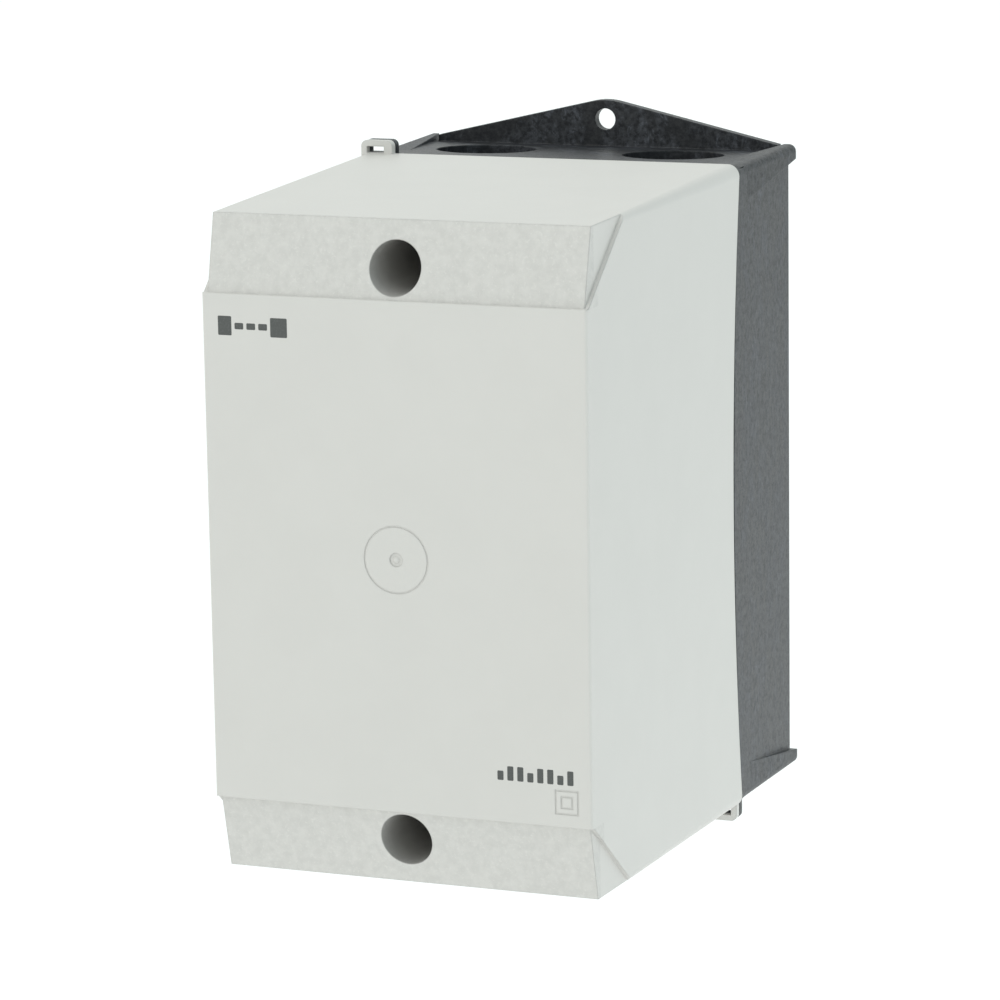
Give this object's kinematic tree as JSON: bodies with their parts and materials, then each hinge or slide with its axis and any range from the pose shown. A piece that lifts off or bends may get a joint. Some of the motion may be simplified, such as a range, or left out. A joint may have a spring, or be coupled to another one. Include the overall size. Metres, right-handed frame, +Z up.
{
  "type": "magnetic motor starter",
  "caption": "Wall-mounted motor starter: deep blank cover on a dark base tray, with a contactor and a thermal overload relay on a rail inside.",
  "frame": {"origin": "middle of the wall plane, halfway between the two fixing screws", "axes": "+Z up, +X to the right seen from the front, +Y into the wall, so the front faces -Y"},
  "size_m": [0.1, 0.1451, 0.181],
  "materials": {
    "cover_plastic": "fine moulded texture",
    "base_plastic": "fine moulded texture",
    "seal_rubber": "matt",
    "brass": "knurled",
    "screw_steel": "zinc plated",
    "washer_plastic": "smooth",
    "rail_steel": "zinc plated",
    "earth_plastic": "moulded",
    "device_dark_plastic": "fine moulded texture",
    "device_light_plastic": "fine moulded texture",
    "latch_plastic": "smooth",
    "spring_steel": "drawn wire",
    "core_steel": "laminated",
    "copper": "copper",
    "bobbin_plastic": "smooth",
    "carrier_plastic": "smooth",
    "terminal_metal": "tinned brass",
    "heater_alloy": "resistance tape",
    "dial_plastic": "smooth",
    "reset_plastic": "smooth",
    "stop_plastic": "smooth"
  },
  "bodies": {
    "enclosure": {"aux_contact_blades": "copper", "aux_terminal_screws": "screw_steel", "aux_terminals": "terminal_metal", "bimetal_strips": "spring_steel", "coil_bobbin": "bobbin_plastic", "coil_terminal_screws": "screw_steel", "coil_terminals": "terminal_metal", "coil_winding": "copper", "contactor_front_housing": "device_light_plastic", "contactor_rear_housing": "device_dark_plastic", "contactor_terminal_screws": "screw_steel", "core_cushion": "seal_rubber", "din_rail": "rail_steel", "earth_terminal_block": "earth_plastic", "earth_terminal_screws": "screw_steel", "fixed_core": "core_steel", "heater_windings": "heater_alloy", "latch_spring": "spring_steel", "line_terminals": "terminal_metal", "load_terminals": "terminal_metal", "motor_terminals": "terminal_metal", "plug_pins": "copper", "rail_screws": "screw_steel", "rear_base": "base_plastic", "relay_back_cover": "device_dark_plastic", "relay_front_cover": "device_light_plastic", "relay_housing": "device_dark_plastic", "relay_terminal_screws": "screw_steel", "reset_spring": "spring_steel", "return_springs": "spring_steel", "shading_rings": "copper", "stop_spring": "spring_steel", "terminal_clamps": "terminal_metal", "threaded_inserts": "brass", "trip_lever_pin": "spring_steel"},
    "cover": {"front_cover": "cover_plastic", "cover_gasket": "seal_rubber"},
    "upper_screw_lift": {"upper_screw_washer": "washer_plastic"},
    "upper_screw": {"upper_cover_screw": "screw_steel"},
    "lower_screw_lift": {"lower_screw_washer": "washer_plastic"},
    "lower_screw": {"lower_cover_screw": "screw_steel"},
    "contact_bridge": {"contact_carrier": "carrier_plastic", "moving_armature": "core_steel", "armature_pin": "spring_steel", "bridge_contacts": "copper", "contact_springs": "spring_steel"},
    "rail_latch": {"rail_latch": "latch_plastic"},
    "dial": {"setting_dial": "dial_plastic"},
    "reset": {"reset_button": "reset_plastic"},
    "stop": {"stop_button": "stop_plastic"},
    "trip_slider": {"trip_slider": "carrier_plastic"},
    "trip_lever": {"trip_lever": "carrier_plastic"}
  },
  "joints": [
    {"name": "cover_lift", "type": "slide", "parent": "enclosure", "child": "cover", "axis": [0, -1, 0], "range_m": [0, 0.16]},
    {"name": "upper_screw_withdraw", "type": "slide", "parent": "cover", "child": "upper_screw_lift", "axis": [0, -1, 0], "range_m": [0, 0.0056]},
    {"name": "upper_screw_turn", "type": "hinge", "parent": "upper_screw_lift", "child": "upper_screw", "pos_m": [0, -0.0508, 0.0672], "axis": [0, -1, 0], "range_deg": [0, 2881]},
    {"name": "lower_screw_withdraw", "type": "slide", "parent": "cover", "child": "lower_screw_lift", "axis": [0, -1, 0], "range_m": [0, 0.0056]},
    {"name": "lower_screw_turn", "type": "hinge", "parent": "lower_screw_lift", "child": "lower_screw", "pos_m": [0, -0.0508, -0.0672], "axis": [0, -1, 0], "range_deg": [0, 2881]},
    {"name": "contacts_pull_in", "type": "slide", "parent": "enclosure", "child": "contact_bridge", "axis": [0, 1, 0], "range_m": [0, 0.004], "stiffness_N_per_m": 600, "springref_m": -0.004, "deforming": ["return_springs"]},
    {"name": "rail_latch_pull", "type": "slide", "parent": "enclosure", "child": "rail_latch", "axis": [0, 0, -1], "range_m": [0, 0.0038], "stiffness_N_per_m": 900, "springref_m": -0.002, "deforming": ["latch_spring"]},
    {"name": "reset_press", "type": "slide", "parent": "enclosure", "child": "reset", "axis": [0, 1, 0], "range_m": [0, 0.002], "stiffness_N_per_m": 600, "springref_m": -0.002, "deforming": ["reset_spring"]},
    {"name": "stop_press", "type": "slide", "parent": "enclosure", "child": "stop", "axis": [0, 1, 0], "range_m": [0, 0.002], "stiffness_N_per_m": 600, "springref_m": -0.002, "deforming": ["stop_spring"]},
    {"name": "setting_turn", "type": "hinge", "parent": "enclosure", "child": "dial", "pos_m": [-0.012, -0.088, -0.023], "axis": [0, 1, 0], "range_deg": [-135, 135]},
    {"name": "trip_slide", "type": "slide", "parent": "enclosure", "child": "trip_slider", "axis": [1, 0, 0], "range_m": [0, 0.002]},
    {"name": "trip_lever_swing", "type": "hinge", "parent": "enclosure", "child": "trip_lever", "pos_m": [0.01305, -0.046, -0.023], "axis": [0, 0, 1], "range_deg": [0, 8.6]}
  ],
  "couplings": [
    {"joint": "upper_screw_turn", "follows": "upper_screw_withdraw", "rad_per_m": 8976},
    {"joint": "lower_screw_turn", "follows": "lower_screw_withdraw", "rad_per_m": 8976},
    {"joint": "trip_lever_swing", "follows": "trip_slide", "rad_per_m": 72.727}
  ]
}
